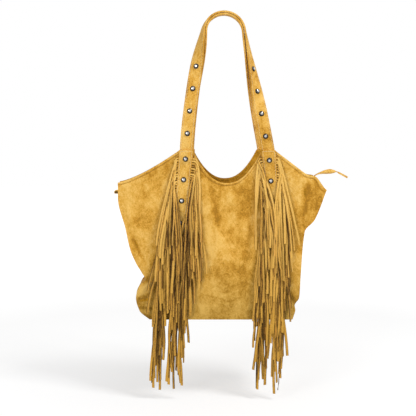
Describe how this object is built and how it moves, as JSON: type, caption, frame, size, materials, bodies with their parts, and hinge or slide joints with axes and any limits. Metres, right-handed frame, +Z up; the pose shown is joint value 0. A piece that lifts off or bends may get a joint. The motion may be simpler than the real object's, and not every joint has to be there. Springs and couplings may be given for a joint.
{
  "type": "fringed shoulder bag",
  "caption": "Mustard suede tote bag hung by two studded shoulder straps, with long thong fringe sewn beside two studded bands and a zipped top.",
  "frame": {"origin": "underside of the rear strap at the top of its loop, where the bag hangs from a hook", "axes": "+X to the wearer-side right as seen from the front, -Y out of the fringed front, +Z up"},
  "size_m": [0.478, 0.1248, 0.7668],
  "materials": {
    "suede": "napped suede, matt, mottled mustard",
    "lining_cloth": "plain woven cotton",
    "board": "plain stiffener board",
    "zip_tape": "woven tape",
    "zip_metal": "antique, semi-gloss",
    "stud_metal": "antique gunmetal, domed"
  },
  "bodies": {
    "bag": {"front_panel": "suede", "gusset_left": "suede", "gusset_right": "suede", "base_panel": "suede", "strap_front": "suede", "strap_rear": "suede", "band_left": "suede", "band_right": "suede", "rear_tab_left": "suede", "rear_tab_right": "suede", "fringe_left_outer": "suede", "fringe_left_inner": "suede", "fringe_right_outer": "suede", "fringe_right_inner": "suede", "zip_end_left": "suede", "zip_end_right": "suede", "facing_front": "suede", "facing_rear": "suede", "back_panel": "suede", "lining": "lining_cloth", "base_board": "board", "zip_tape_front": "zip_tape", "zip_tape_rear": "zip_tape", "stud_strap_left_1": "stud_metal", "stud_strap_left_2": "stud_metal", "stud_strap_left_3": "stud_metal", "stud_strap_left_4": "stud_metal", "stud_strap_right_1": "stud_metal", "stud_strap_right_2": "stud_metal", "stud_strap_right_3": "stud_metal", "stud_strap_right_4": "stud_metal", "stud_rear_left_1": "stud_metal", "stud_rear_left_2": "stud_metal", "stud_rear_left_3": "stud_metal", "stud_rear_left_4": "stud_metal", "stud_rear_right_1": "stud_metal", "stud_rear_right_2": "stud_metal", "stud_rear_right_3": "stud_metal", "stud_rear_right_4": "stud_metal", "stud_band_left_1": "stud_metal", "stud_band_left_2": "stud_metal", "stud_band_left_3": "stud_metal", "stud_band_left_4": "stud_metal", "stud_band_left_5": "stud_metal", "stud_band_left_6": "stud_metal", "stud_band_left_7": "stud_metal", "stud_band_left_8": "stud_metal", "stud_band_right_1": "stud_metal", "stud_band_right_2": "stud_metal", "stud_band_right_3": "stud_metal", "stud_band_right_4": "stud_metal", "stud_band_right_5": "stud_metal", "stud_band_right_6": "stud_metal", "stud_band_right_7": "stud_metal", "stud_band_right_8": "stud_metal"},
    "slider": {"zip_slider": "zip_metal"},
    "puller": {"zip_pull_tab": "zip_metal", "zip_pull_thong": "suede"}
  },
  "joints": [
    {"name": "zip_slide", "type": "slide", "parent": "bag", "child": "slider", "axis": [1, 0, 0], "range_m": [-0.345, 0]},
    {"name": "puller_swing", "type": "hinge", "parent": "slider", "child": "puller", "pos_m": [0.165, 0, -0.352], "axis": [0, -1, 0], "range_deg": [-5, 100]}
  ]
}
